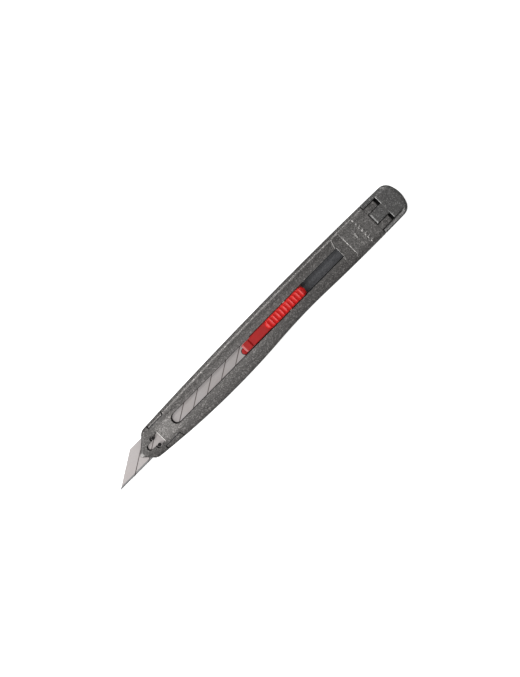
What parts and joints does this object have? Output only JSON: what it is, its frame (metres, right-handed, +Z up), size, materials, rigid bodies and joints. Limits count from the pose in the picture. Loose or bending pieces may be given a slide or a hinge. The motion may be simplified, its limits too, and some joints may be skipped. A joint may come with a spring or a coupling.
{
  "type": "snap off knife",
  "caption": "Slim slide cutter with a scored snap-off blade, a ribbed thumb slider in a long slot, a two-shell handle and a pull-off end cap.",
  "frame": {"origin": "on the surface the knife lies on, under the middle of its box, with the blade out as stored", "axes": "+X from the blade's tip to the tail, +Y towards the spine side of the handle, +Z up, out of the face with the thumb slider"},
  "size_m": [0.1638, 0.0166, 0.0103],
  "materials": {
    "cover_front": "fine metallic speckle, satin",
    "cover_back": "fine metallic speckle, satin",
    "pins": "dark, satin",
    "guide": "blued, brushed along its length",
    "rivet": "dark",
    "blade": "ground and lightly brushed",
    "carriage": "satin moulded",
    "grip": "satin moulded, ribbed",
    "spring": "bright spring steel",
    "collar": "fine metallic speckle, satin",
    "cap": "fine texture"
  },
  "bodies": {
    "handle": {"front_cover": "cover_front", "back_cover": "cover_back", "steady_pins": "pins", "blade_guide": "guide", "guide_rivet": "rivet", "tail_collar": "collar"},
    "slider": {"blade": "blade", "slider_carriage": "carriage", "thumb_grip": "grip", "detent_spring": "spring"},
    "cap": {"end_cap": "cap"}
  },
  "joints": [
    {"name": "blade_slide", "type": "slide", "parent": "handle", "child": "slider", "axis": [-1, 0, 0], "range_m": [-0.02, 0.039]},
    {"name": "cap_pull", "type": "slide", "parent": "handle", "child": "cap", "axis": [1, 0, 0], "range_m": [0, 0.012]}
  ]
}
